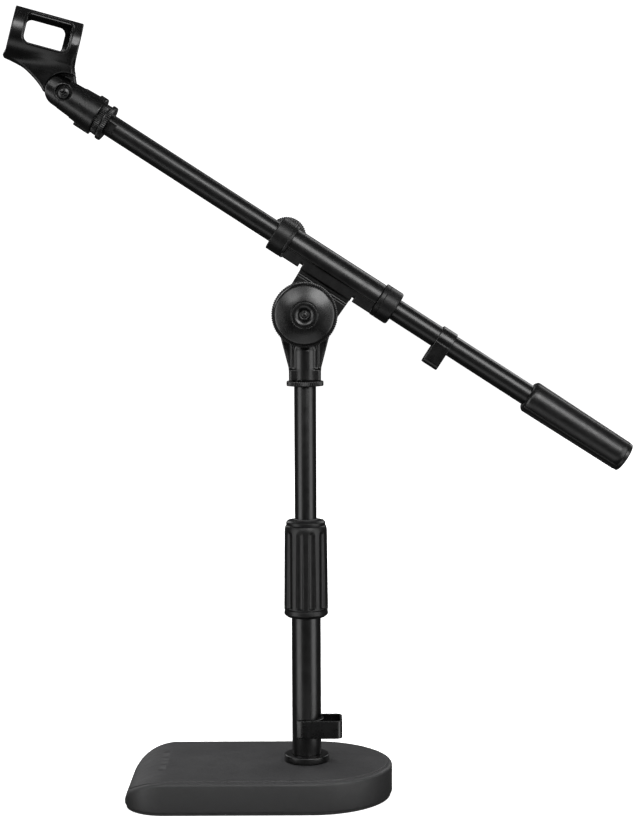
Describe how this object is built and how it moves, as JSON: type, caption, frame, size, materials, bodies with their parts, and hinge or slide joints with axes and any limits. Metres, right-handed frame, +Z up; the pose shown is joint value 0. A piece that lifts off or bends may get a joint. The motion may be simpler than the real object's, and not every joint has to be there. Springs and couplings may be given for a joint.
{
  "type": "desktop microphone stand",
  "caption": "Low desktop boom stand: weighted base, telescoping post with a twist clutch, tilting and sliding boom with a rear grip, and a swivelling mic clip.",
  "frame": {"origin": "on the post axis, where the pad under the base meets the desk", "axes": "+Z up along the post, +X towards the base's round end, where the boom's grip end also points; the tilt knob is on the -Y side"},
  "size_m": [0.4541, 0.12, 0.5746],
  "materials": {
    "textured_iron": "fine-textured black powder coat",
    "pad_rubber": "matt",
    "zinc_steel": "bright zinc plate",
    "black_steel": "semi-gloss black paint",
    "cast_zinc": "satin black paint on a casting",
    "nylon": "plain moulded",
    "handle_plastic": "satin black moulding",
    "knob_plastic": "polished black moulding",
    "clip_plastic": "semi-gloss black moulding",
    "grip_rubber": "satin black",
    "brass": "turned"
  },
  "bodies": {
    "base": {"base_weight": "textured_iron", "base_pad": "pad_rubber", "base_bolt": "zinc_steel", "base_washer": "zinc_steel", "foot_collar": "black_steel", "lower_tube": "black_steel", "tube_foot_plug": "zinc_steel", "clutch_insert": "nylon", "clutch_collet": "nylon"},
    "post_clip": {"post_cable_clip": "clip_plastic"},
    "clutch": {"clutch_grip": "handle_plastic", "clutch_base_ring": "handle_plastic", "clutch_top_ring": "handle_plastic"},
    "slider": {"guide_bush": "nylon"},
    "riser": {"upper_tube": "black_steel", "riser_stud": "zinc_steel", "swivel_yoke": "cast_zinc"},
    "riser_ring": {"riser_lock_ring": "black_steel"},
    "boom_head": {"friction_discs": "nylon", "boom_strap": "black_steel", "pivot_bolt": "zinc_steel", "pivot_washer": "zinc_steel", "sleeve_liner": "nylon", "sleeve_cap_rear": "handle_plastic", "sleeve_cap_front": "handle_plastic", "lock_insert": "brass", "lock_pad": "nylon"},
    "tilt_knob": {"tilt_knob": "knob_plastic", "tilt_knob_nut": "brass"},
    "lock_knob": {"boom_lock_knob": "knob_plastic", "lock_knob_screw": "zinc_steel"},
    "boom": {"boom_tube": "black_steel", "tip_stud": "black_steel", "grip_sleeve": "grip_rubber", "counterweight": "zinc_steel", "grip_end_plug": "grip_rubber"},
    "boom_clip": {"boom_cable_clip": "clip_plastic"},
    "tip_ring": {"tip_lock_ring": "black_steel"},
    "socket": {"clip_socket": "clip_plastic", "thread_adapter": "brass", "clip_nut": "zinc_steel", "clip_screw": "black_steel"},
    "clip": {"mic_clip": "clip_plastic"}
  },
  "joints": [
    {"name": "post_height", "type": "slide", "parent": "base", "child": "slider", "axis": [0, 0, 1], "range_m": [-0.064, 0.041]},
    {"name": "post_swivel", "type": "hinge", "parent": "slider", "child": "riser", "pos_m": [0, 0, 0.119], "axis": [0, 0, 1], "continuous": true},
    {"name": "riser_ring_turn", "type": "hinge", "parent": "riser", "child": "riser_ring", "pos_m": [0, 0, 0.3032], "axis": [0, 0, 1], "range_deg": [-180, 180]},
    {"name": "clutch_twist", "type": "hinge", "parent": "base", "child": "clutch", "pos_m": [0, 0, 0.168], "axis": [0, 0, 1], "range_deg": [0, 270]},
    {"name": "post_clip_slide", "type": "slide", "parent": "base", "child": "post_clip", "axis": [0, 0, 1], "range_m": [-0.013, 0.074]},
    {"name": "boom_tilt", "type": "hinge", "parent": "riser", "child": "boom_head", "pos_m": [0, 0, 0.3535], "axis": [0, 1, 0], "range_deg": [-115, 42]},
    {"name": "tilt_knob_turn", "type": "hinge", "parent": "boom_head", "child": "tilt_knob", "pos_m": [0, 0, 0.3535], "axis": [0, 1, 0], "range_deg": [-180, 180]},
    {"name": "lock_knob_turn", "type": "hinge", "parent": "boom_head", "child": "lock_knob", "pos_m": [-0.0142, 0, 0.40839], "axis": [0.0569, 0.9945, 0.0877], "range_deg": [-180, 180]},
    {"name": "boom_slide", "type": "slide", "parent": "boom_head", "child": "boom", "axis": [0.8387, 0, -0.5446], "range_m": [-0.036, 0.138]},
    {"name": "boom_clip_turn", "type": "hinge", "parent": "boom", "child": "boom_clip", "pos_m": [0.1012, 0, 0.33344], "axis": [0.8387, 0, -0.5446], "continuous": true},
    {"name": "tip_ring_turn", "type": "hinge", "parent": "boom", "child": "tip_ring", "pos_m": [-0.14352, 0, 0.49237], "axis": [0.8387, 0, -0.5446], "range_deg": [-180, 180]},
    {"name": "clip_swivel", "type": "hinge", "parent": "boom", "child": "socket", "pos_m": [-0.15442, 0, 0.49945], "axis": [0.8387, 0, -0.5446], "range_deg": [-180, 180]},
    {"name": "clip_tilt", "type": "hinge", "parent": "socket", "child": "clip", "pos_m": [-0.17116, 0, 0.51223], "axis": [0, 1, 0], "range_deg": [-75, 20]}
  ]
}
